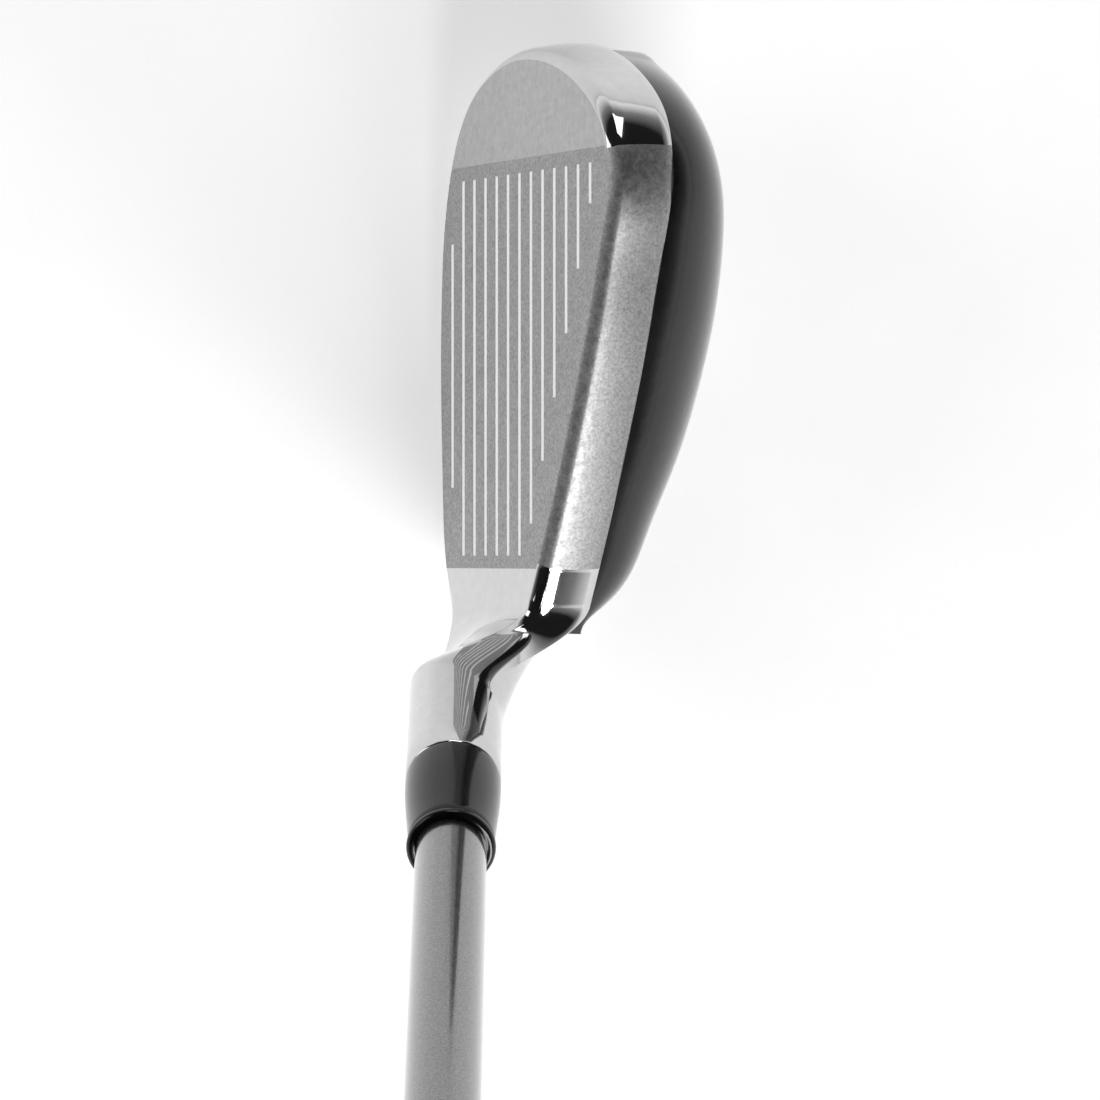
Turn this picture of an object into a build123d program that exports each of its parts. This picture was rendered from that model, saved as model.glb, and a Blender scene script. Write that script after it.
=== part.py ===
"""Right-handed hybrid-iron golf club, standing at address.

The head rests on its sole at the origin. +X runs from heel to toe, +Y towards the target and +Z up, so the
shaft leans towards -X at the lie angle. Every length is in millimetres.
"""
from build123d import *
from math import cos, radians, sin
import os

os.makedirs("parts", exist_ok=True)

# ---------------------------------------------------------------- driving dimensions
lie = 62.0
loft_angle = 27.0
hand_x = -28.0  # where the shaft's axis meets the ground, measured from the sole's contact point
hand_y = 12.0

face_edge_y = hand_y + 3.0  # the leading edge, at the middle of the face
face_edge_z = 4.4
frame_depth = 9.0  # the cast frame, measured square to the face
heel_line_x = hand_x - 0.6  # heel end of the scored zone
heel_x = hand_x - 6.0  # heel end of the frame, where the neck begins
toe_line_x = hand_x + 56.6  # toe end of the scored zone
face_thickness = 2.4
face_round = 1.5  # width and depth of the bevel round the face
wall = 1.4
crown_bulge = 19.3  # greatest depth of the hollow back behind the frame

hosel_radius = 6.43
hosel_top = 62.0  # distance up the shaft's axis from the ground
bore_depth = 28.0
tip_radius = 4.7
glue_gap = 0.1

ferrule_length = 17.5
ferrule_small_radius = 5.6
ferrule_lip = 1.1

club_length = 978.0
shaft_tip_wall = 1.6
shaft_butt_radius = 7.6
shaft_butt_wall = 0.9
parallel_tip = 110.0
grip_length = 267.0
grip_mouth_radius = 9.6
grip_butt_radius = 13.2
cap_height = 4.0
cap_radius = 14.4
vent_radius = 2.5

groove_count = 13
groove_pitch = 3.56
groove_first_v = 4.35
groove_width = 0.9
groove_depth = 0.45
paint_depth = 0.4

# ---------------------------------------------------------------- shared frames
depth_dir = (0, -cos(radians(loft_angle)), -sin(radians(loft_angle)))
face_plane = Plane(origin=(0, face_edge_y, face_edge_z), x_dir=(1, 0, 0), z_dir=depth_dir)
shaft_dir = (-cos(radians(lie)), 0, sin(radians(lie)))
shaft_plane = Plane(origin=(hand_x, hand_y, 0), x_dir=(sin(radians(lie)), 0, cos(radians(lie))), z_dir=shaft_dir)


def up_face(depth, z):
    """The way up the face at which a point that far behind it is at height z."""
    return (z - face_edge_z + depth * sin(radians(loft_angle))) / cos(radians(loft_angle))


def back_bulge(x):
    """Depth of the hollow back behind the frame: widest towards the toe, fading at the heel."""
    from_widest = x - (hand_x + 40.0)
    reach = 60.0 if from_widest < 0 else 45.0
    fade = min(1.0, (x - hand_x + 11.0) / 7.5)
    return crown_bulge * fade * (1 - (from_widest / reach) ** 2)


# heel to toe: where each section of the head stands, and its lowest and highest point up the face
head_sections = [
    (hand_x - 9.8, 18.5, 26.4),
    (hand_x - 7.0, 10.0, 28.4),
    (hand_x - 3.0, 3.6, 31.2),
    (hand_x + 5.0, 1.2, 35.5),
    (hand_x + 14.0, 0.3, 40.0),
    (hand_x + 24.0, 0.1, 44.3),
    (hand_x + 34.0, 0.1, 48.4),
    (hand_x + 44.0, 0.5, 51.8),
    (hand_x + 52.0, 1.6, 53.7),
    (hand_x + 58.0, 3.4, 52.7),
    (hand_x + 63.0, 6.3, 49.3),
    (hand_x + 67.0, 10.0, 44.1),
    (hand_x + 70.0, 15.0, 37.2),
    (hand_x + 72.0, 21.0, 30.0),
]


def section_plane(x):
    """Plane across the head: its x runs back from the face, its y up the face."""
    return Plane(origin=(x, face_edge_y, face_edge_z), x_dir=depth_dir, z_dir=(-1, 0, 0))


def hull_section(x, low, high, start, inset):
    """Closed profile of the hollow back at one place, from the depth start, drawn in by inset."""
    bulge = back_bulge(x) - inset
    lift = cos(radians(loft_angle)) * low
    trail_depth = frame_depth + 0.93 * bulge
    trail_height = min(up_face(trail_depth, 4.0 + lift), low + 0.62 * (high - low)) + inset
    trail = (trail_depth, trail_height)
    sole_depth = frame_depth + 0.45 * bulge
    sole_height = (low + trail_height) / 2 - 1.7
    top = high - inset
    drop = top - trail[1]
    front_top = (start, top)
    front_low = (start, low + inset)
    if start < frame_depth:
        front_top = (start, top - 3 * inset)
    with BuildSketch(section_plane(x)) as profile:
        with BuildLine():
            Line(front_low, front_top)
            Spline(
                front_top,
                (frame_depth + 0.33 * bulge, top - 0.042 * drop),
                (frame_depth + 0.66 * bulge, top - 0.187 * drop),
                (frame_depth + 0.90 * bulge, top - 0.423 * drop),
                (frame_depth + bulge, top - 0.75 * drop),
                trail,
            )
            Spline(
                trail,
                (sole_depth, sole_height + inset),
                front_low,
            )
        make_face()
    return profile.sketch


# ---------------------------------------------------------------- solids that shape the head
hull_profiles = [hull_section(x, low, high, frame_depth, 0.0) for x, low, high in head_sections]
cavity_profiles = [hull_section(x, low, high, face_thickness + 0.4, wall) for x, low, high in head_sections[2:-2]]

with BuildPart() as hull:
    loft(hull_profiles)

with BuildPart() as cavity:
    loft(cavity_profiles)

toe_centre = Vector(hand_x + 48.0, 26.0)


def frame_outline(depth, inset):
    """The frame's outline at one depth: bowed topline, round toe, nearly straight leading edge."""

    def toe_point(x, height):
        """A point of the toe's curve, drawn in towards the middle of the toe."""
        point = Vector(hand_x + x, height)
        return point + (toe_centre - point).normalized() * inset

    toe_top = toe_point(50.5, 54.0)
    toe_low = toe_point(46.7, 0.6)
    heel_top = Vector(heel_x, 29.4 - 1.1 * inset)
    heel_low = Vector(heel_x, 2.9 + inset)
    toe_points = [
        toe_point(60.6, 51.7),
        toe_point(67.2, 44.0),
        toe_point(71.5, 33.0),
        toe_point(72.4, 24.0),
        toe_point(70.6, 15.5),
        toe_point(65.2, 7.5),
        toe_point(56.0, 2.2),
    ]
    with BuildSketch(face_plane.offset(depth)) as outline:
        with BuildLine():
            topline = ThreePointArc(heel_top, (hand_x + 22.0, 43.4 - 1.07 * inset), toe_top)
            leading = ThreePointArc(toe_low, (hand_x + 21.0, 0.0 + inset), heel_low)
            Spline(toe_top, *toe_points, toe_low, tangents=[topline % 1, leading % 0])
            Line(heel_low, heel_top)
        make_face()
    return outline.sketch


bevel_start = frame_outline(0.0, face_round)
bevel_end = frame_outline(face_round, 0.0)

with BuildPart() as frame_block:
    loft([bevel_start, bevel_end])
    extrude(bevel_end, amount=frame_depth - face_round)


# ---------------------------------------------------------------- neck and hosel
neck_pivot_z = 33.0
neck_steps = 8
frame_half_height = 12.9
frame_drop = 16.4
frame_side = -8.4
turn_end = (hand_x - heel_x) * cos(radians(lie)) + neck_pivot_z * sin(radians(lie))
axis_drop = neck_pivot_z * cos(radians(lie)) - (hand_x - heel_x) * sin(radians(lie))


def neck_plane(turn, drop, side, lean):
    """Section plane of the neck, turned about the inside of its bend, with its depth leaning down and back."""
    angle = radians(turn)
    tilt = radians(lean)
    centre = (heel_x - drop * sin(angle), hand_y + side, neck_pivot_z - drop * cos(angle))
    back = (-sin(tilt) * sin(angle), -cos(tilt), -sin(tilt) * cos(angle))
    return Plane(origin=centre, x_dir=back, z_dir=(-cos(angle), 0, sin(angle)))


neck_profiles = []
for step in range(neck_steps + 1):
    share = step / neck_steps
    eased = share * share * (3 - 2 * share)
    half_height = frame_half_height + (hosel_radius - frame_half_height) * share
    half_depth = frame_depth / 2 + (hosel_radius - frame_depth / 2) * (1 - (1 - share) ** 2)
    corner = face_round + (hosel_radius - 0.1 - face_round) * eased
    drop = frame_drop + (axis_drop - frame_drop) * share
    profile_plane = neck_plane(lie * share, drop, frame_side * (1 - eased), loft_angle * (1 - eased))
    with BuildSketch(profile_plane) as neck_profile:
        RectangleRounded(2 * half_depth, 2 * half_height, corner)
    neck_profiles.append(neck_profile.sketch)

with BuildPart() as shaft_bore:
    with BuildSketch(shaft_plane.offset(hosel_top - bore_depth)):
        Circle(tip_radius + glue_gap)
    extrude(amount=bore_depth + 5)

with BuildPart() as neck:
    loft(neck_profiles)
    extrude(neck_profiles[-1], amount=hosel_top - turn_end)
    add(shaft_bore.part, mode=Mode.SUBTRACT)

# ---------------------------------------------------------------- score lines
line_toe_x = hand_x + 54.6
line_heel_x = hand_x + 1.2


def line_span(index):
    """Heel and toe end of a score line: the lowest is short, the upper ones follow the topline."""
    height = groove_first_v + groove_pitch * index
    if index == 0:
        return hand_x + 10.9, hand_x + 45.8
    follow = hand_x + 8.4 + (height - 30.4) * 2.44
    return max(line_heel_x, follow), line_toe_x


def score_lines():
    """All the score lines as slots in the face plane."""
    with BuildSketch(face_plane) as slots:
        for index in range(groove_count):
            heel_end, toe_end = line_span(index)
            middle = ((heel_end + toe_end) / 2, groove_first_v + groove_pitch * index)
            with Locations(middle):
                Rectangle(toe_end - heel_end, groove_width)
    return slots.sketch


groove_shape = score_lines()

# ---------------------------------------------------------------- face insert and the paint in its lines
insert_low = 2.4
insert_edge = face_round + 0.3

with BuildSketch(face_plane) as insert_sketch:
    with BuildLine():
        insert_top = ThreePointArc(
            (heel_line_x, 32.6 - insert_edge), (hand_x + 24.7, 44.6 - insert_edge), (hand_x + 50.5, 53.9 - insert_edge)
        )
        Polyline(
            insert_top @ 1,
            (toe_line_x, 53.4 - insert_edge),
            (toe_line_x, 4.6),
            (hand_x + 46.7, insert_low),
            (heel_line_x, insert_low),
            insert_top @ 0,
        )
    make_face()

with BuildPart() as face_insert:
    extrude(insert_sketch.sketch, amount=face_thickness)
    extrude(groove_shape, amount=groove_depth, mode=Mode.SUBTRACT)
face_insert.part.label = "face_insert"

paint_shape = groove_shape.moved(Location(Vector(depth_dir) * (groove_depth - paint_depth)))

with BuildPart() as score_line_paint:
    extrude(paint_shape, amount=paint_depth)
score_line_paint.part.label = "score_line_paint"

# ---------------------------------------------------------------- cast body
with BuildPart() as insert_window:
    extrude(insert_sketch.sketch, amount=face_thickness)

sole_split_z = 5.5  # below this height the hull is cast metal, above it the black shell

with BuildPart() as sole_zone:
    with BuildSketch(Plane.XY.offset(-10)):
        Rectangle(400, 400)
    extrude(amount=10 + sole_split_z)

with BuildPart() as head_body:
    add(hull.part)
    add(sole_zone.part, mode=Mode.INTERSECT)
    add(frame_block.part)
    add(neck.part)
    add(cavity.part, mode=Mode.SUBTRACT)
    add(insert_window.part, mode=Mode.SUBTRACT)
head_body.part.label = "head_body"

# ---------------------------------------------------------------- weight bonded inside, low at the back
with BuildPart() as weight_zone:
    with BuildSketch(Plane.XY.offset(-5)):
        with Locations((hand_x + 38, hand_y - 20)):
            Rectangle(34, 12)
    extrude(amount=5 + sole_split_z)

with BuildPart() as sole_weight:
    add(cavity.part)
    add(weight_zone.part, mode=Mode.INTERSECT)
sole_weight.part.label = "sole_weight"

# ---------------------------------------------------------------- hollow black back
with BuildPart() as rear_shell:
    add(hull.part)
    add(cavity.part, mode=Mode.SUBTRACT)
    add(sole_zone.part, mode=Mode.SUBTRACT)
    add(neck.part, mode=Mode.SUBTRACT)
rear_shell.part.label = "rear_shell"

# ---------------------------------------------------------------- shaft
half_plane = Plane(origin=shaft_plane.origin, x_dir=shaft_plane.x_dir, z_dir=(0, -1, 0))
shaft_start = hosel_top - bore_depth + 1.5
shaft_end = club_length - cap_height
shaft_run = shaft_end - shaft_start


def tube(name, profile):
    """A round piece on the shaft's axis, from its half profile (radius, distance up the axis)."""
    with BuildPart() as piece:
        with BuildSketch(half_plane) as half:
            with BuildLine():
                Polyline(*profile, close=True)
            make_face()
        revolve(axis=Axis(shaft_plane.origin, shaft_dir))
    piece.part.label = name
    return piece


def shaft_radius(distance):
    """Outer radius of the shaft: parallel tip, then an even taper to the butt."""
    if distance <= shaft_start + parallel_tip:
        return tip_radius
    share = (distance - shaft_start - parallel_tip) / (shaft_run - parallel_tip)
    return tip_radius + (shaft_butt_radius - tip_radius) * share


taper_start = shaft_start + parallel_tip
shaft = tube("shaft", [
    (tip_radius, shaft_start),
    (tip_radius, taper_start),
    (shaft_butt_radius, shaft_end),
    (shaft_butt_radius - shaft_butt_wall, shaft_end),
    (tip_radius - shaft_tip_wall, taper_start),
    (tip_radius - shaft_tip_wall, shaft_start),
])

hosel_epoxy = tube("hosel_epoxy", [
    (tip_radius, shaft_start),
    (tip_radius + glue_gap, shaft_start),
    (tip_radius + glue_gap, hosel_top),
    (tip_radius, hosel_top),
])

pin_length = 12.0
tip_weight_pin = tube("tip_weight_pin", [
    (0, shaft_start),
    (tip_radius - shaft_tip_wall, shaft_start),
    (tip_radius - shaft_tip_wall, shaft_start + pin_length),
    (0, shaft_start + pin_length),
])

plug_length = 9.0
tip_plug = tube("tip_plug", [
    (0, shaft_start + pin_length),
    (tip_radius - shaft_tip_wall, shaft_start + pin_length),
    (tip_radius - shaft_tip_wall, shaft_start + pin_length + plug_length),
    (0, shaft_start + pin_length + plug_length),
])

# ---------------------------------------------------------------- ferrule
ferrule_top = hosel_top + ferrule_length
with BuildPart() as ferrule:
    with BuildSketch(half_plane):
        with BuildLine():
            Line((tip_radius, hosel_top), (hosel_radius, hosel_top))
            Spline(
                (hosel_radius, hosel_top),
                (hosel_radius + 0.1, hosel_top + 0.15 * ferrule_length),
                (ferrule_small_radius + 0.25, hosel_top + 0.7 * ferrule_length),
                (ferrule_small_radius, ferrule_top - ferrule_lip / 2),
            )
            TangentArc(
                (ferrule_small_radius, ferrule_top - ferrule_lip / 2),
                (tip_radius, ferrule_top - ferrule_lip / 4),
                tangent=(-0.2, 1),
            )
            Line((tip_radius, ferrule_top - ferrule_lip / 4), (tip_radius, hosel_top))
        make_face()
    revolve(axis=Axis(shaft_plane.origin, shaft_dir))
ferrule.part.label = "ferrule"

# ---------------------------------------------------------------- grip
tape_gap = 0.2
grip_end = club_length
grip_mouth = club_length - grip_length
tape_start = grip_mouth + 4.0
band_length = 60.0
band_thickness = 0.15
band_end = grip_mouth - 30.0
band_start = band_end - band_length

shaft_band = tube("shaft_band", [
    (shaft_radius(band_start), band_start),
    (shaft_radius(band_start) + band_thickness, band_start),
    (shaft_radius(band_end) + band_thickness, band_end),
    (shaft_radius(band_end), band_end),
])

grip_tape = tube("grip_tape", [
    (shaft_radius(tape_start), tape_start),
    (shaft_radius(tape_start) + tape_gap, tape_start),
    (shaft_butt_radius + tape_gap, shaft_end),
    (shaft_butt_radius, shaft_end),
])

grip_sleeve = tube("grip_sleeve", [
    (shaft_radius(grip_mouth), grip_mouth),
    (grip_mouth_radius - 1.2, grip_mouth),
    (grip_mouth_radius, grip_mouth + 2.5),
    (grip_butt_radius, shaft_end),
    (shaft_butt_radius + tape_gap, shaft_end),
    (shaft_radius(tape_start) + tape_gap, tape_start),
    (shaft_radius(tape_start), tape_start),
])

cap_round = 1.6
grip_cap = tube("grip_cap", [
    (vent_radius, shaft_end),
    (cap_radius, shaft_end),
    (cap_radius, grip_end - cap_round),
    (cap_radius - cap_round, grip_end),
    (vent_radius, grip_end),
])

for piece in (
    head_body, face_insert, score_line_paint, rear_shell, sole_weight, shaft, hosel_epoxy, tip_weight_pin, tip_plug,
    ferrule, shaft_band, grip_tape, grip_sleeve, grip_cap,
):
    export_step(piece.part, "parts/" + piece.part.label + ".step")
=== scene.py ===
"""Looks of the hybrid golf club: materials, a finer head, shaft and grip, floor, light and camera."""
import math

import bpy
import bmesh
import numpy as np
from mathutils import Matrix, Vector


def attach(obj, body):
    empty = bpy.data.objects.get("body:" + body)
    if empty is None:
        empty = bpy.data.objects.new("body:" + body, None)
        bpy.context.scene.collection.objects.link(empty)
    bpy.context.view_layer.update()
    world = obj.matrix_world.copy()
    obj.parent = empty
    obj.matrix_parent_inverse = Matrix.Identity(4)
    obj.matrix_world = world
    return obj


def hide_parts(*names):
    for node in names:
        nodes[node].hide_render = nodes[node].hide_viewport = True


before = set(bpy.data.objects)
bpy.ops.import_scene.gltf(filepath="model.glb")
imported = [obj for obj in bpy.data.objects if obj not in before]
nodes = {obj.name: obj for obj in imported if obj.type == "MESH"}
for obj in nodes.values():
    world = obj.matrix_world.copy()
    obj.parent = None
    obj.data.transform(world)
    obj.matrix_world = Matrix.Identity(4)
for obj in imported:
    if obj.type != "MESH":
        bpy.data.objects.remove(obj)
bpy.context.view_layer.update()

MM = 0.001
HAND_X = -28.0  # where the shaft's axis meets the ground
HAND_Y = 12.0
LIE = math.radians(62.0)
UP_SHAFT = Vector((-math.cos(LIE), 0.0, math.sin(LIE)))
SIDE = Vector((0.0, -1.0, 0.0))
ACROSS = UP_SHAFT.cross(SIDE)
SHAFT_FOOT = Vector((HAND_X, HAND_Y, 0.0)) * MM

# places on the shaft are distances up its axis from the ground, in millimetres
HOSEL_RADIUS = 6.43
HOSEL_TOP = 62.0
TIP_RADIUS = 4.7
TIP_BORE = 3.1
TAPER_START = 145.5
BUTT_RADIUS = 7.6
BUTT_BORE = 6.7
FERRULE_TOP = HOSEL_TOP + 17.5
CLUB_LENGTH = 978.0
GRIP_MOUTH = CLUB_LENGTH - 267.0
SHAFT_END = CLUB_LENGTH - 4.0


def along(distance):
    """A point on the shaft's axis, that many millimetres up from the ground."""
    return SHAFT_FOOT + UP_SHAFT * distance * MM


# ---------------------------------------------------------------- node helpers
class Graph:
    """A material's node tree, with short ways to add and join nodes."""

    def __init__(self, name):
        self.material = bpy.data.materials.new(name)
        self.material.use_nodes = True
        self.tree = self.material.node_tree
        self.shader = self.tree.nodes["Principled BSDF"]

    def add(self, kind, **settings):
        node = self.tree.nodes.new(kind)
        for key, value in settings.items():
            setattr(node, key, value)
        return node

    def join(self, source, target):
        self.tree.links.new(source, target)

    def place(self):
        return self.add("ShaderNodeTexCoord").outputs["Object"]

    def noise(self, scale, detail=4.0, roughness=0.55, stretch=None):
        node = self.add("ShaderNodeTexNoise")
        node.inputs["Scale"].default_value = scale
        node.inputs["Detail"].default_value = detail
        node.inputs["Roughness"].default_value = roughness
        source = self.place()
        if stretch:
            mapping = self.add("ShaderNodeMapping")
            mapping.inputs["Scale"].default_value = stretch
            self.join(source, mapping.inputs["Vector"])
            source = mapping.outputs["Vector"]
        self.join(source, node.inputs["Vector"])
        return node.outputs["Fac"]

    def spread(self, source, low, high, start=0.3, end=0.7):
        node = self.add("ShaderNodeMapRange")
        node.inputs["From Min"].default_value = start
        node.inputs["From Max"].default_value = end
        node.inputs["To Min"].default_value = low
        node.inputs["To Max"].default_value = high
        self.join(source, node.inputs["Value"])
        return node.outputs["Result"]

    def tint(self, source, dark, light, start=0.3, end=0.7):
        node = self.add("ShaderNodeValToRGB")
        node.color_ramp.elements[0].position = start
        node.color_ramp.elements[1].position = end
        node.color_ramp.elements[0].color = (*dark, 1)
        node.color_ramp.elements[1].color = (*light, 1)
        self.join(source, node.inputs["Fac"])
        return node.outputs["Color"]

    def bump(self, source, depth_mm, strength=1.0):
        node = self.add("ShaderNodeBump")
        node.inputs["Strength"].default_value = strength
        node.inputs["Distance"].default_value = depth_mm * MM
        self.join(source, node.inputs["Height"])
        self.join(node.outputs["Normal"], self.shader.inputs["Normal"])
        return node

    def set(self, **values):
        for key, value in values.items():
            self.shader.inputs[key.replace("_", " ")].default_value = value


def grey(value):
    return (value, value, value)


# ---------------------------------------------------------------- materials
def make_polished_steel():
    """Chrome-bright casting with faint polishing haze."""
    g = Graph("polished_steel")
    g.set(Metallic=1.0)
    g.join(g.tint(g.noise(700, 3), grey(0.60), grey(0.64)), g.shader.inputs["Base Color"])
    g.join(g.spread(g.noise(260, 5, 0.6, (1, 6, 1)), 0.05, 0.08), g.shader.inputs["Roughness"])
    g.bump(g.noise(1800, 2), 0.002, 0.25)
    return g.material


def make_blasted_steel():
    """Bead-blasted steel with a fine grain."""
    g = Graph("blasted_steel")
    g.set(Metallic=1.0)
    g.join(g.tint(g.noise(2600, 3, 0.6), grey(0.27), grey(0.46)), g.shader.inputs["Base Color"])
    g.join(g.spread(g.noise(900, 4), 0.42, 0.56), g.shader.inputs["Roughness"])
    g.bump(g.noise(3200, 2, 0.6), 0.02, 0.6)
    return g.material


def make_satin_steel():
    """Satin steel of the toe, brushed lightly."""
    g = Graph("satin_steel")
    g.set(Metallic=1.0)
    g.join(g.tint(g.noise(900, 3, 0.6), grey(0.40), grey(0.48)), g.shader.inputs["Base Color"])
    g.join(g.spread(g.noise(700, 4, 0.6, (1, 5, 5)), 0.24, 0.34), g.shader.inputs["Roughness"])
    g.bump(g.noise(2600, 2), 0.004, 0.3)
    return g.material


def make_gloss_black():
    """Black lacquer of the shell."""
    g = Graph("gloss_black")
    g.join(g.tint(g.noise(500, 4), grey(0.004), grey(0.008)), g.shader.inputs["Base Color"])
    g.join(g.spread(g.noise(120, 4), 0.10, 0.16), g.shader.inputs["Roughness"])
    g.set(Coat_Weight=0.3, Coat_Roughness=0.06, Specular_IOR_Level=0.35)
    g.bump(g.noise(900, 2), 0.002, 0.2)
    return g.material


def make_paint_white_painted_glow():
    """White fill of the score lines, with a little painted glow of its own that brightens them."""
    g = Graph("line_white_painted_glow")
    # painted light: emission makes the white paint glow, though paint gives no light
    g.set(Emission_Strength=0.25, Emission_Color=(1, 1, 1, 1))
    g.join(g.tint(g.noise(2500, 3), grey(0.84), grey(0.94)), g.shader.inputs["Base Color"])
    g.join(g.spread(g.noise(900, 3), 0.45, 0.65), g.shader.inputs["Roughness"])
    g.bump(g.noise(2500, 2), 0.01, 0.4)
    return g.material


def make_ferrule_black():
    """Buffed black plastic."""
    g = Graph("ferrule_black")
    g.join(g.tint(g.noise(800, 4), grey(0.004), grey(0.010)), g.shader.inputs["Base Color"])
    g.join(g.spread(g.noise(400, 4, 0.6, (1, 1, 4)), 0.12, 0.22), g.shader.inputs["Roughness"])
    g.set(Coat_Weight=0.15, Coat_Roughness=0.08, Specular_IOR_Level=0.3)
    g.bump(g.noise(1500, 2), 0.002, 0.2)
    return g.material


def make_shaft_paint():
    """Grey metallic paint under clear coat."""
    g = Graph("shaft_paint")
    g.set(Metallic=0.9)
    g.join(g.tint(g.noise(4200, 2, 0.7), grey(0.14), grey(0.30)), g.shader.inputs["Base Color"])
    g.join(g.spread(g.noise(1400, 3), 0.16, 0.24), g.shader.inputs["Roughness"])
    g.set(Coat_Weight=1.0, Coat_Roughness=0.04)
    g.bump(g.noise(3000, 2), 0.003, 0.3)
    return g.material


def make_rubber():
    """Dull black rubber."""
    g = Graph("grip_rubber")
    g.join(g.tint(g.noise(600, 5), grey(0.012), grey(0.028)), g.shader.inputs["Base Color"])
    g.join(g.spread(g.noise(900, 4), 0.62, 0.82), g.shader.inputs["Roughness"])
    g.bump(g.noise(2600, 3, 0.6), 0.03, 0.5)
    return g.material


def make_plain(name, dark, light, rough_low, rough_high, metal=0.0, scale=900, depth=0.01):
    """A simple mottled material for the hidden and small pieces."""
    g = Graph(name)
    g.set(Metallic=metal)
    g.join(g.tint(g.noise(scale, 5, 0.6), dark, light), g.shader.inputs["Base Color"])
    g.join(g.spread(g.noise(scale * 0.7, 4), rough_low, rough_high), g.shader.inputs["Roughness"])
    g.bump(g.noise(scale * 1.6, 3), depth, 0.5)
    return g.material


def dress(name, material):
    """Give a CAD node its finish."""
    slots = nodes[name].data.materials
    if not slots:
        slots.append(material)
    for index in range(len(slots)):
        slots[index] = material


steel = make_polished_steel()
blasted = make_blasted_steel()
satin = make_satin_steel()
dress("head_body", steel)
dress("face_insert", blasted)
dress("score_line_paint", make_paint_white_painted_glow())
dress("rear_shell", make_gloss_black())
dress("sole_weight", make_plain("tungsten", grey(0.16), grey(0.3), 0.4, 0.6, metal=1.0))
epoxy = make_plain("epoxy", (0.30, 0.26, 0.18), (0.42, 0.38, 0.28), 0.3, 0.5)
brass = make_plain("brass", (0.60, 0.42, 0.16), (0.76, 0.58, 0.26), 0.2, 0.35, metal=1.0)
cork = make_plain("cork", (0.28, 0.16, 0.08), (0.52, 0.34, 0.19), 0.8, 0.95, depth=0.1)
dress("hosel_epoxy", epoxy)
dress("tip_weight_pin", brass)
dress("tip_plug", cork)
ferrule_black = make_ferrule_black()
shaft_paint = make_shaft_paint()
dress("ferrule", ferrule_black)
dress("shaft", shaft_paint)
dress("shaft_band", make_plain("band", grey(0.01), grey(0.03), 0.2, 0.35))
dress("grip_tape", make_plain("tape", (0.52, 0.48, 0.38), (0.66, 0.62, 0.52), 0.7, 0.9, depth=0.05))
rubber = make_rubber()
dress("grip_sleeve", rubber)
dress("grip_cap", rubber)

# ---------------------------------------------------------------- head shape, in millimetres
LOFT = math.radians(27.0)
LEADING_EDGE_Y = HAND_Y + 3.0
LEADING_EDGE_Z = 4.4
FRAME_DEPTH = 9.0
HEEL_X = -6.0  # from here to the toe, places along the face are measured from HAND_X
BLAST_HEEL_X = -0.6
BLAST_TOE_X = 56.6
INSERT_DEPTH = 2.4
BEVEL = 1.6
LEADING_BEVEL = 0.85
BEVEL_DEPTH = 1.65  # how far behind the face the bevel ends and the band begins
BAND_BULGE = 0.3  # the band is slightly convex
TOE_DRAFT = 1.0  # the toe's outline grows by this much from the bevel to the frame's back
HEEL_STEPS = 48
BORE_RADIUS = 4.8
BORE_BOTTOM = 42.0
TIP_END = BORE_BOTTOM + 1.0
MOUTH_EDGE = 61.6
NECK_FRONT = 37.0  # where the neck joins the hosel at its front, and at its back
NECK_BACK = 46.0
NECK_STEPS = 70
NECK_REACH = 14.0  # how strongly the neck keeps its direction at both ends


def head_point(x, depth, height):
    """A point of the head, from its distance along the face, behind it and up it."""
    return Vector((
        HAND_X + x,
        LEADING_EDGE_Y - depth * math.cos(LOFT) - height * math.sin(LOFT),
        LEADING_EDGE_Z - depth * math.sin(LOFT) + height * math.cos(LOFT),
    )) * MM


def smooth_curve(knots, count):
    """Points of the natural cubic spline through some knots, evenly spaced along it."""
    knots = np.array(knots, dtype=float)
    gaps = np.linalg.norm(np.diff(knots, axis=0), axis=1)
    place = np.concatenate([[0.0], np.cumsum(gaps)])
    size = len(knots)
    matrix = np.eye(size)  # the ends stay unbent
    right = np.zeros((size, 2))
    for i in range(1, size - 1):
        matrix[i, i - 1] = gaps[i - 1]
        matrix[i, i] = 2 * (gaps[i - 1] + gaps[i])
        matrix[i, i + 1] = gaps[i]
        slope_after = (knots[i + 1] - knots[i]) / gaps[i]
        slope_before = (knots[i] - knots[i - 1]) / gaps[i - 1]
        right[i] = 6 * (slope_after - slope_before)
    bend = np.linalg.solve(matrix, right)
    points = []
    for value in np.linspace(0.0, place[-1], count):
        i = min(int(np.searchsorted(place, value, side="right")) - 1, size - 2)
        gap = gaps[i]
        after = (value - place[i]) / gap
        before = 1 - after
        point = before * knots[i] + after * knots[i + 1]
        sag = (before ** 3 - before) * bend[i] + (after ** 3 - after) * bend[i + 1]
        points.append(point + gap * gap / 6 * sag)
    return np.array(points)


def topline(x):
    """Height up the face of the bowed topline."""
    along_top = x - BLAST_HEEL_X
    return 32.8 + 0.525 * along_top - 0.00215 * along_top ** 2


# leading edge from the heel, then round the toe; the topline carries on from there
LOWER_KNOTS = [
    (HEEL_X, 3.3), (0.0, 1.45), (12.0, 0.3), (25.0, -0.2), (38.0, 0.0), (48.0, 0.8), (56.0, 2.3), (62.0, 5.1),
    (66.8, 9.4), (70.1, 15.5), (71.8, 22.5), (71.6, 30.5),
    (69.5, 38.7), (65.7, 46.0), (61.3, 51.0), (BLAST_TOE_X, 53.4),
]
TOPLINE_XS = [50.0, 43.0, 34.0, 24.0, 14.0, 4.0, HEEL_X]


def ease(value, start, end):
    """Smooth step from 0 at start to 1 at end."""
    share = min(1.0, max(0.0, (value - start) / (end - start)))
    return share * share * (3 - 2 * share)


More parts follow.
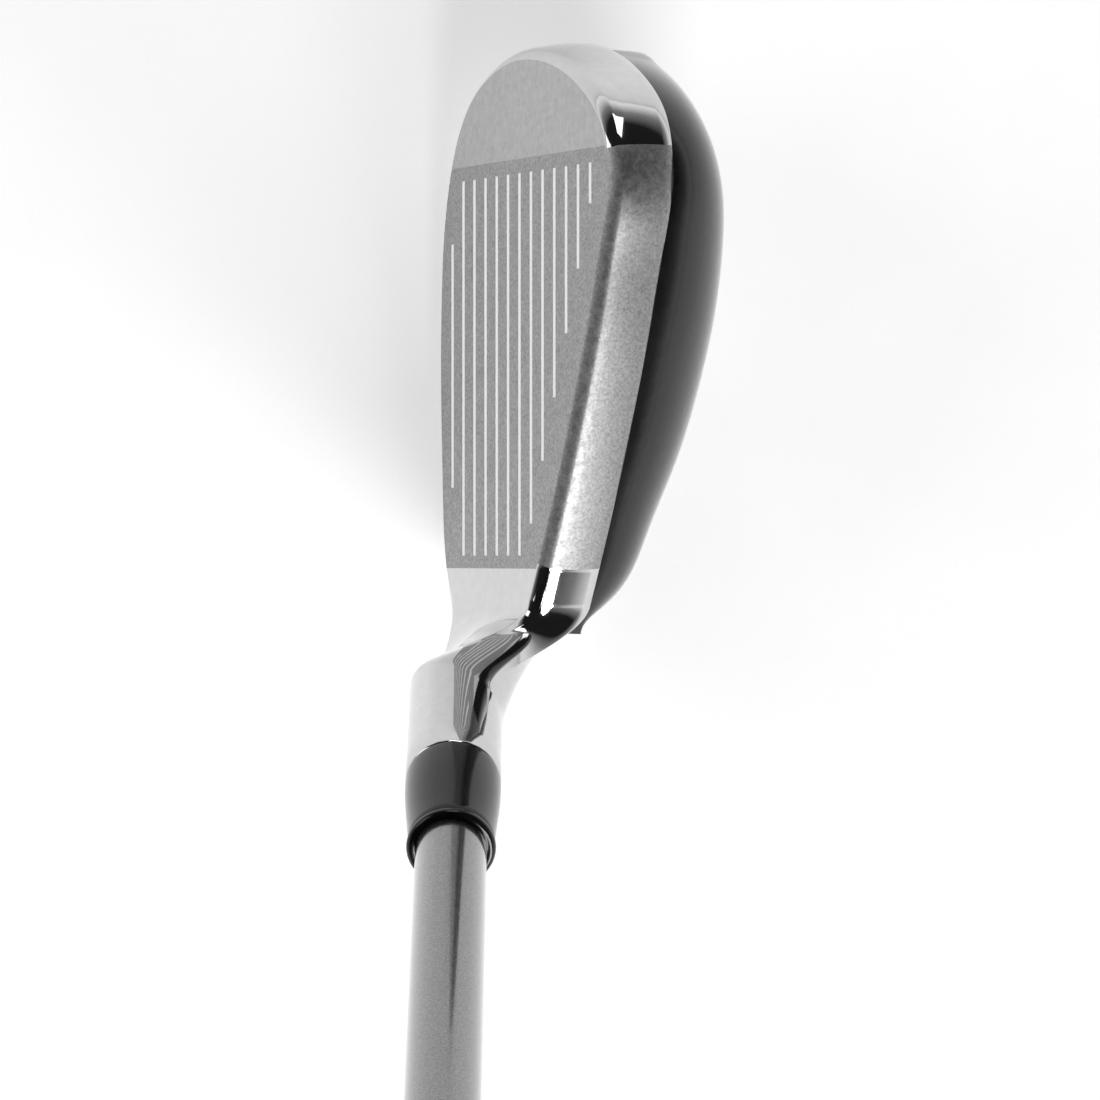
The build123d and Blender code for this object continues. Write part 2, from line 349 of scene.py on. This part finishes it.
def frame_columns():
    """The outline's points with their outward directions, and how wide the bevel is at each."""
    points = smooth_curve(LOWER_KNOTS + [(x, topline(x)) for x in TOPLINE_XS], 560)
    points[0, 0] = HEEL_X
    points[-1, 0] = HEEL_X
    outward = np.gradient(points, axis=0)
    outward = np.stack([outward[:, 1], -outward[:, 0]], axis=1)
    outward /= np.linalg.norm(outward, axis=1)[:, None]
    outward[0] = (0.0, -1.0)
    outward[-1] = (0.0, 1.0)
    for line in (BLAST_HEEL_X, BLAST_TOE_X):
        for low_side in (True, False):
            near = [abs(p[0] - line) + (0 if (p[1] < 20) == low_side else 100) for p in points]
            points[int(np.argmin(near)), 0] = line
    bevels = []
    for x, height in points:
        low = 1 - ease(height, 3.0, 9.0)
        bevels.append(BEVEL + (LEADING_BEVEL - BEVEL) * low * (1 - ease(x, 44.0, 58.0)))
    return points, outward, bevels


# how the skin turns from the face over the bevel to the band: share of the bevel left, and depth
SKIN_PROFILE = [
    (1.0, 0.0), (0.93, 0.03), (0.80, 0.14), (0.60, 0.38), (0.40, 0.68), (0.20, 1.03), (0.07, 1.33),
    (0.0, BEVEL_DEPTH), (0.0, 3.0), (0.0, 4.5), (0.0, 6.0), (0.0, 7.5), (0.0, 8.7), (0.08, FRAME_DEPTH),
]

INSERT_CORNERS = [(-0.6, 30.8), (50.5, 52.1), (56.6, 51.6), (56.6, 4.6), (46.7, 2.4), (-0.6, 2.4)]


def insert_outline():
    """The face insert's outline: a bowed top edge, straight toe, foot and heel."""
    start = np.array(INSERT_CORNERS[0])
    middle = np.array((24.7, 42.8))
    end = np.array(INSERT_CORNERS[1])
    matrix = 2 * np.array([middle - start, end - start])
    centre = np.linalg.solve(matrix, [middle @ middle - start @ start, end @ end - start @ start])
    radius = np.linalg.norm(start - centre)
    first = math.atan2(*(start - centre)[::-1])
    last = math.atan2(*(end - centre)[::-1])
    arc = [centre + radius * np.array((math.cos(a), math.sin(a))) for a in np.linspace(first, last, 60)]
    return [tuple(p) for p in arc] + INSERT_CORNERS[2:]


def ray_hit(centre, target, outline):
    """Where the ray from the centre through the target crosses a closed outline."""
    direction = target - centre
    for start, end in zip(outline, outline[1:] + outline[:1]):
        start = np.array(start)
        edge = np.array(end) - start
        cross = direction[0] * edge[1] - direction[1] * edge[0]
        if abs(cross) < 1e-12:
            continue
        offset = start - centre
        reach = (offset[0] * edge[1] - offset[1] * edge[0]) / cross
        share = (offset[0] * direction[1] - offset[1] * direction[0]) / cross
        if reach > 0 and -1e-9 <= share <= 1 + 1e-9:
            return centre + direction * reach
    return target


POLISHED, BLASTED, SATIN = 0, 1, 2


class Skin:
    """Collects vertices and faces of one mesh."""

    def __init__(self):
        self.mesh = bmesh.new()

    def ring(self, points):
        return [self.mesh.verts.new(p) for p in points]

    def face(self, corners, finish=POLISHED):
        made = self.mesh.faces.new(corners)
        made.material_index = finish
        made.smooth = True
        return made

    def bridge(self, first, second, closed=True, finish=POLISHED):
        count = len(first) if closed else len(first) - 1
        for i in range(count):
            j = (i + 1) % len(first)
            value = finish(i) if callable(finish) else finish
            self.face((first[i], first[j], second[j], second[i]), value)


def frame_rows(skin, points, outward, bevels):
    """The skin round the frame, from the flat face over the bevel and the band to the back."""
    rows = []
    band_depth = FRAME_DEPTH - BEVEL_DEPTH
    for left, depth in SKIN_PROFILE:
        row = []
        grown = TOE_DRAFT * max(0.0, depth - BEVEL_DEPTH) / band_depth
        bulge = BAND_BULGE * max(0.0, 1 - ((depth - 5.2) / 3.8) ** 2)
        for (x, height), out, bevel in zip(points, outward, bevels):
            shift = grown * ease(x, 50.0, 62.0) + bulge - bevel * left
            row.append(head_point(x + out[0] * shift, depth, height + out[1] * shift))
        rows.append(skin.ring(row))

    def band_finish(i):
        middle = (points[i][0] + points[min(i + 1, len(points) - 1)][0]) / 2
        return BLASTED if BLAST_HEEL_X < middle < BLAST_TOE_X else POLISHED

    for near, far in zip(rows, rows[1:]):
        skin.bridge(near, far, closed=False, finish=band_finish)
    return rows


def face_finish(x):
    """The face's finish: polished heel, blasted middle, satin toe."""
    if x > BLAST_TOE_X - 0.2:
        return SATIN
    if x > BLAST_HEEL_X:
        return BLASTED
    return POLISHED


def face_window(edge):
    """For each point of the flat face's edge, the point of the insert's outline towards the middle."""
    centre = np.array((28.0, 25.0))
    outline = insert_outline()
    window = [ray_hit(centre, point, outline) for point in edge]
    for corner in INSERT_CORNERS:
        gaps = [np.linalg.norm(point - np.array(corner)) for point in window]
        window[int(np.argmin(gaps))] = np.array(corner)
    return window


def face_strip(skin, first_row, points, outward, bevels):
    """The flat face between the bevel and the insert, with the insert's pocket; returns its heel edge."""
    low = points[0][1] + bevels[0]
    top = points[-1][1] - bevels[-1]
    heel_flat = [(HEEL_X, top + (low - top) * step / HEEL_STEPS) for step in range(1, HEEL_STEPS)]
    heel_front = skin.ring([head_point(x, 0.0, height) for x, height in heel_flat])
    flat = [point - out * bevel for point, out, bevel in zip(points, outward, bevels)]
    edge = flat + [np.array(point) for point in heel_flat]
    window = face_window(edge)
    rings = [first_row + heel_front]
    strip_steps = 4
    for step in range(1, strip_steps + 1):
        between = [a + (b - a) * step / strip_steps for a, b in zip(edge, window)]
        rings.append(skin.ring([head_point(point[0], 0.0, point[1]) for point in between]))
    for outer, inner in zip(rings, rings[1:]):
        for i in range(len(outer)):
            j = (i + 1) % len(outer)
            middle = (outer[i].co.x + inner[i].co.x) / 2 / MM - HAND_X
            skin.face((outer[j], outer[i], inner[i], inner[j]), face_finish(middle))
    pocket = skin.ring([head_point(point[0], INSERT_DEPTH, point[1]) for point in window])
    skin.bridge(pocket, rings[-1])
    skin.face(pocket)
    return heel_front


def frame_back(skin, last_row, low, top):
    """The flat back of the frame, behind the shell's rim; returns its heel edge."""
    heights = [top + (low - top) * step / HEEL_STEPS for step in range(1, HEEL_STEPS)]
    heel_back = skin.ring([head_point(HEEL_X, FRAME_DEPTH, height) for height in heights])
    skin.face(list(reversed(last_row + heel_back)))
    return heel_back


def neck(skin, section, low, top):
    """Every point of the heel section runs in a smooth curve to its place on the hosel."""
    middle = head_point(HEEL_X, FRAME_DEPTH / 2, (low + top) / 2)
    toe_side = Vector((math.sin(LIE), 0.0, math.cos(LIE)))
    up_face = Vector((0.0, -math.sin(LOFT), math.cos(LOFT)))
    off_face = Vector((0.0, math.cos(LOFT), math.sin(LOFT)))
    curves = []
    radials = []
    joins = []
    for vertex in section:
        local = vertex.co - middle
        rise = local.dot(up_face) / MM / ((top - low) / 2)
        front = local.dot(off_face) / MM / (FRAME_DEPTH / 2)
        angle = math.atan2(rise, front)
        radial = Vector((0.0, 1.0, 0.0)) * math.cos(angle) + toe_side * math.sin(angle)
        join = NECK_FRONT + (NECK_BACK - NECK_FRONT) * (1 - math.cos(angle)) / 2
        start = vertex.co.copy()
        end = along(join) + radial * HOSEL_RADIUS * MM
        reach = min(NECK_REACH * MM, 0.62 * (end - start).length)
        pull = (Vector((-1.0, 0.0, 0.0)) + up_face * (-0.08 - 0.46 * rise)) * reach
        curves.append((start, pull, end, UP_SHAFT * reach))
        radials.append(radial)
        joins.append(join)
    previous = section
    for step in range(1, NECK_STEPS + 1):
        t = step / NECK_STEPS
        ring = skin.ring([
            start * (2 * t ** 3 - 3 * t ** 2 + 1) + pull * (t ** 3 - 2 * t ** 2 + t)
            + end * (3 * t ** 2 - 2 * t ** 3) + lift * (t ** 3 - t ** 2)
            for start, pull, end, lift in curves
        ])
        skin.bridge(previous, ring)
        previous = ring
    return previous, radials, joins


def hosel(skin, previous, radials, joins):
    """The hosel: straight up, a broken edge at the mouth, then down the bore."""
    for share in (0.2, 0.4, 0.6, 0.8):
        ring = skin.ring([
            along(join + (MOUTH_EDGE - join) * share) + radial * HOSEL_RADIUS * MM
            for radial, join in zip(radials, joins)
        ])
        skin.bridge(previous, ring)
        previous = ring
    stations = [(HOSEL_RADIUS, MOUTH_EDGE), (HOSEL_RADIUS - 0.1, 61.85), (HOSEL_RADIUS - 0.3, HOSEL_TOP)]
    stations += [(BORE_RADIUS, HOSEL_TOP), (BORE_RADIUS, 52.0), (BORE_RADIUS, BORE_BOTTOM)]
    for radius, distance in stations:
        ring = skin.ring([along(distance) + radial * radius * MM for radial in radials])
        skin.bridge(previous, ring)
        previous = ring
    skin.face(previous)


def frame_and_neck(skin):
    """The cast frame round the face, the neck that grows out of its heel, and the bored hosel."""
    points, outward, bevels = frame_columns()
    low = points[0][1]
    top = points[-1][1]
    rows = frame_rows(skin, points, outward, bevels)
    heel_front = face_strip(skin, rows[0], points, outward, bevels)
    heel_back = frame_back(skin, rows[-1], low, top)
    section = [row[-1] for row in rows] + heel_back
    section += [row[0] for row in reversed(rows)] + list(reversed(heel_front))
    hosel(skin, *neck(skin, section, low, top))


def sole_plate(skin):
    """The cast sole behind the frame, kept from the CAD body."""
    plate = bmesh.new()
    plate.from_mesh(nodes["head_body"].data)
    plate.transform(nodes["head_body"].matrix_world)
    everything = plate.verts[:] + plate.edges[:] + plate.faces[:]
    cut = bmesh.ops.bisect_plane(
        plate, geom=everything, plane_co=head_point(0, FRAME_DEPTH - 0.02, 0),
        plane_no=(0, -math.cos(LOFT), -math.sin(LOFT)), clear_inner=True,
    )
    rim = [item for item in cut["geom_cut"] if isinstance(item, bmesh.types.BMEdge)]
    bmesh.ops.holes_fill(plate, edges=rim, sides=0)
    everything = plate.verts[:] + plate.edges[:] + plate.faces[:]
    cut = bmesh.ops.bisect_plane(
        plate, geom=everything, plane_co=head_point(HEEL_X + 0.5, 0, 0), plane_no=(1, 0, 0), clear_inner=True,
    )
    copies = {}
    for vertex in plate.verts:
        copies[vertex] = skin.mesh.verts.new(vertex.co)
    for face in plate.faces:
        skin.face([copies[vertex] for vertex in face.verts])
    plate.free()


def finish_mesh(skin, name, materials, sharp_angle=32.0):
    """Turn collected geometry into an object with crisp edges where the surface really turns."""
    bmesh.ops.recalc_face_normals(skin.mesh, faces=skin.mesh.faces[:])
    for item in skin.mesh.edges:
        if len(item.link_faces) == 2:
            item.smooth = item.calc_face_angle(0.0) < math.radians(sharp_angle)
    data = bpy.data.meshes.new(name)
    skin.mesh.to_mesh(data)
    skin.mesh.free()
    for material in materials:
        data.materials.append(material)
    piece = bpy.data.objects.new(name, data)
    bpy.context.collection.objects.link(piece)
    return piece


def own(piece, node):
    """Let a finer piece stand in for a CAD node."""
    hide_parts(node)
    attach(piece, "root")
    return piece


def make_head():
    """The cast body in one skin, with its three finishes."""
    skin = Skin()
    frame_and_neck(skin)
    sole_plate(skin)
    return own(finish_mesh(skin, "head_body_fine", [steel, blasted, satin]), "head_body")


def lathe(name, node, material, profile, segments=192, relief=None):
    """A round piece on the shaft's axis from a closed loop of (radius, distance)."""
    skin = Skin()
    rings = []
    for radius, distance in profile:
        ring = []
        for step in range(segments):
            angle = 2 * math.pi * step / segments
            grown = radius + (relief(radius, distance, angle) if relief else 0.0)
            ring.append(along(distance) + (SIDE * math.cos(angle) + ACROSS * math.sin(angle)) * grown * MM)
        rings.append(skin.ring(ring))
    for first, second in zip(rings, rings[1:] + rings[:1]):
        skin.bridge(first, second)
    return own(finish_mesh(skin, name, [material]), node)


# ---------------------------------------------------------------- stage
def make_floor():
    """A wide pale sheet that glows with painted light, a little brighter round the head, which washes out the
    shadows under it.
    """
    bpy.ops.mesh.primitive_grid_add(x_subdivisions=8, y_subdivisions=8, size=6.0, location=(0, 0, 0))
    floor = bpy.context.object
    floor.name = "floor"
    g = Graph("floor_paper_painted_glow")
    g.join(g.tint(g.noise(40, 3), grey(0.86), grey(0.90)), g.shader.inputs["Base Color"])
    # painted pool of light: the floor's glow falls from 0.50 near the head to 0.38 further out
    reach = g.add("ShaderNodeVectorMath", operation="LENGTH")
    g.join(g.place(), reach.inputs[0])
    g.join(g.spread(reach.outputs["Value"], 0.50, 0.38, 0.10, 0.80), g.shader.inputs["Emission Strength"])
    g.set(Emission_Color=(1, 1, 1, 1))
    g.join(g.spread(g.noise(60, 3), 0.85, 0.95), g.shader.inputs["Roughness"])
    g.bump(g.noise(400, 3), 0.05, 0.3)
    floor.data.materials.append(g.material)


def make_light(name, place, size, power):
    """A square softbox that looks at the head."""
    data = bpy.data.lights.new(name, "AREA")
    data.energy = power
    data.size = size
    lamp = bpy.data.objects.new(name, data)
    bpy.context.collection.objects.link(lamp)
    lamp.location = place
    head_middle = Vector((0.0, 0.0, 0.02))
    lamp.rotation_euler = (head_middle - Vector(place)).to_track_quat("-Z", "Y").to_euler()


def make_world():
    """Bright low round the horizon and nearly black overhead, so that polished metal has contrast."""
    world = bpy.data.worlds.new("studio")
    bpy.context.scene.world = world
    world.use_nodes = True
    tree = world.node_tree
    background = tree.nodes["Background"]
    place = tree.nodes.new("ShaderNodeTexCoord")
    split = tree.nodes.new("ShaderNodeSeparateXYZ")
    ramp = tree.nodes.new("ShaderNodeValToRGB")
    tree.links.new(place.outputs["Generated"], split.inputs["Vector"])
    tree.links.new(split.outputs["Z"], ramp.inputs["Fac"])
    horizon, zenith = ramp.color_ramp.elements
    horizon.position = 0.04
    horizon.color = (1.0, 1.0, 1.0, 1)
    zenith.position = 0.42
    zenith.color = (0.015, 0.015, 0.015, 1)
    middle = ramp.color_ramp.elements.new(0.22)
    middle.color = (0.28, 0.28, 0.28, 1)
    tree.links.new(ramp.outputs["Color"], background.inputs["Color"])
    background.inputs["Strength"].default_value = 1.0


def make_camera():
    """A long lens looking straight down on the head, with the toe at the top of the picture."""
    data = bpy.data.cameras.new("camera")
    data.lens = 163.64
    data.sensor_width = 36.0
    data.clip_end = 20.0
    camera = bpy.data.objects.new("camera", data)
    bpy.context.collection.objects.link(camera)
    eye = SHAFT_FOOT + Vector((2.0, -12.97, 725.0)) * MM
    camera.location = eye
    camera.rotation_euler = (0.0, 0.0, math.radians(-90.0))
    bpy.context.scene.camera = camera


# ---------------------------------------------------------------- round pieces on the shaft
def make_ferrule():
    """A barrel that narrows upwards, with a rounded lip at its top."""
    profile = [(TIP_RADIUS, HOSEL_TOP + 0.02), (HOSEL_RADIUS - 0.25, HOSEL_TOP + 0.02)]
    profile += [(HOSEL_RADIUS - 0.05, HOSEL_TOP + 0.2)]
    steps = 24
    for step in range(1, steps + 1):
        share = step / steps
        profile.append((HOSEL_RADIUS - 0.75 * ease(share, 0.1, 1.15), HOSEL_TOP + 0.2 + 15.4 * share))
    lip_radius = 0.75
    lip_middle = FERRULE_TOP - lip_radius
    for step in range(11):
        angle = math.radians(-60 + 15 * step)
        profile.append((5.15 + lip_radius * math.cos(angle), lip_middle + lip_radius * math.sin(angle)))
    profile.append((TIP_RADIUS, FERRULE_TOP - 0.05))
    lathe("ferrule_fine", "ferrule", ferrule_black, profile)


def shaft_radius(distance):
    """Outer radius of the shaft: parallel tip, then an even taper to the butt."""
    share = max(0.0, (distance - TAPER_START) / (SHAFT_END - TAPER_START))
    return TIP_RADIUS + (BUTT_RADIUS - TIP_RADIUS) * share


def make_shaft():
    """The tapered tube, with its bore."""
    profile = [(shaft_radius(d), d) for d in np.linspace(TIP_END, SHAFT_END, 60)]
    profile += [(BUTT_BORE, SHAFT_END), (TIP_BORE, TAPER_START), (TIP_BORE, TIP_END)]
    lathe("shaft_fine", "shaft", shaft_paint, profile)


def make_tip_filling():
    """The adhesive round the shaft's tip, and the pin and the plug inside it."""
    glue = [(TIP_RADIUS, TIP_END), (BORE_RADIUS, TIP_END), (BORE_RADIUS, HOSEL_TOP), (TIP_RADIUS, HOSEL_TOP)]
    lathe("epoxy_fine", "hosel_epoxy", epoxy, glue, 96)
    core = 0.4  # a lathed piece keeps a fine hole down its middle
    pin_end = TIP_END + 12
    plug_end = pin_end + 9
    pin = [(core, TIP_END), (TIP_BORE - 0.3, TIP_END), (TIP_BORE, TIP_END + 0.3)]
    pin += [(TIP_BORE, pin_end), (core, pin_end)]
    lathe("pin_fine", "tip_weight_pin", brass, pin, 96)
    plug = [(core, pin_end), (TIP_BORE, pin_end), (TIP_BORE, plug_end - 0.4)]
    plug += [(TIP_BORE - 0.4, plug_end), (core, plug_end)]
    lathe("plug_fine", "tip_plug", cork, plug, 96)


def grip_relief(radius, distance, angle):
    """Moulded diamond pattern, fading out towards the mouth, the butt and the smooth bore."""
    if radius < 9.0:
        return 0.0
    fade = ease(distance, GRIP_MOUTH + 14, GRIP_MOUTH + 22)
    fade *= 1 - ease(distance, SHAFT_END - 20, SHAFT_END - 12)
    turn = 12 * angle
    climb = 2 * math.pi * distance / 8.0
    ridge = abs(math.sin(turn + climb)) * abs(math.sin(turn - climb))
    return -0.35 * fade * (1 - ease(ridge, 0.05, 0.35))


def make_grip():
    """The rubber grip, from a rounded mouth along an even taper, with its bore."""
    tape_start = GRIP_MOUTH + 4
    taper_start = GRIP_MOUTH + 2.5
    taper_length = SHAFT_END - taper_start
    lips = [(shaft_radius(GRIP_MOUTH), GRIP_MOUTH), (8.3, GRIP_MOUTH), (8.9, GRIP_MOUTH + 0.3)]
    lips += [(9.3, GRIP_MOUTH + 1.0), (9.6, taper_start)]
    outer = [(9.6 + 3.6 * share, taper_start + taper_length * share) for share in np.linspace(0, 1, 330)[1:]]
    bare = shaft_radius(tape_start)
    inner = [(7.8, SHAFT_END), (bare + 0.2, tape_start), (bare, tape_start)]
    lathe("grip_fine", "grip_sleeve", rubber, lips + outer + inner, 144, grip_relief)


def make_cap():
    """The butt cap, with a rounded rim, a shallow ring groove and the vent hole."""
    vent = 2.5
    rim = 1.6
    groove = 0.4
    cap = [(vent, SHAFT_END), (14.0, SHAFT_END), (14.4, SHAFT_END + 0.4), (14.4, CLUB_LENGTH - rim)]
    for step in range(1, 9):
        angle = math.radians(90 * step / 8)
        cap.append((12.8 + rim * math.cos(angle), CLUB_LENGTH - rim + rim * math.sin(angle)))
    cap += [(10.5, CLUB_LENGTH), (10.2, CLUB_LENGTH - groove)]
    cap += [(9.6, CLUB_LENGTH - groove), (9.3, CLUB_LENGTH)]
    cap += [(vent + 0.4, CLUB_LENGTH), (vent, CLUB_LENGTH - 0.4)]
    lathe("cap_fine", "grip_cap", rubber, cap, 144)


make_head()
make_grip()
make_cap()
make_tip_filling()
make_ferrule()
make_shaft()
make_floor()
make_light("heel_softbox", (-1.70, -0.55, 1.0), 0.9, 34.0)
make_light("target_softbox", (0.40, 1.80, 1.1), 1.2, 8.0)
make_light("toe_softbox", (1.8, -0.10, 1.2), 0.9, 6.0)
make_world()
make_camera()
bpy.context.scene.view_settings.view_transform = "Standard"
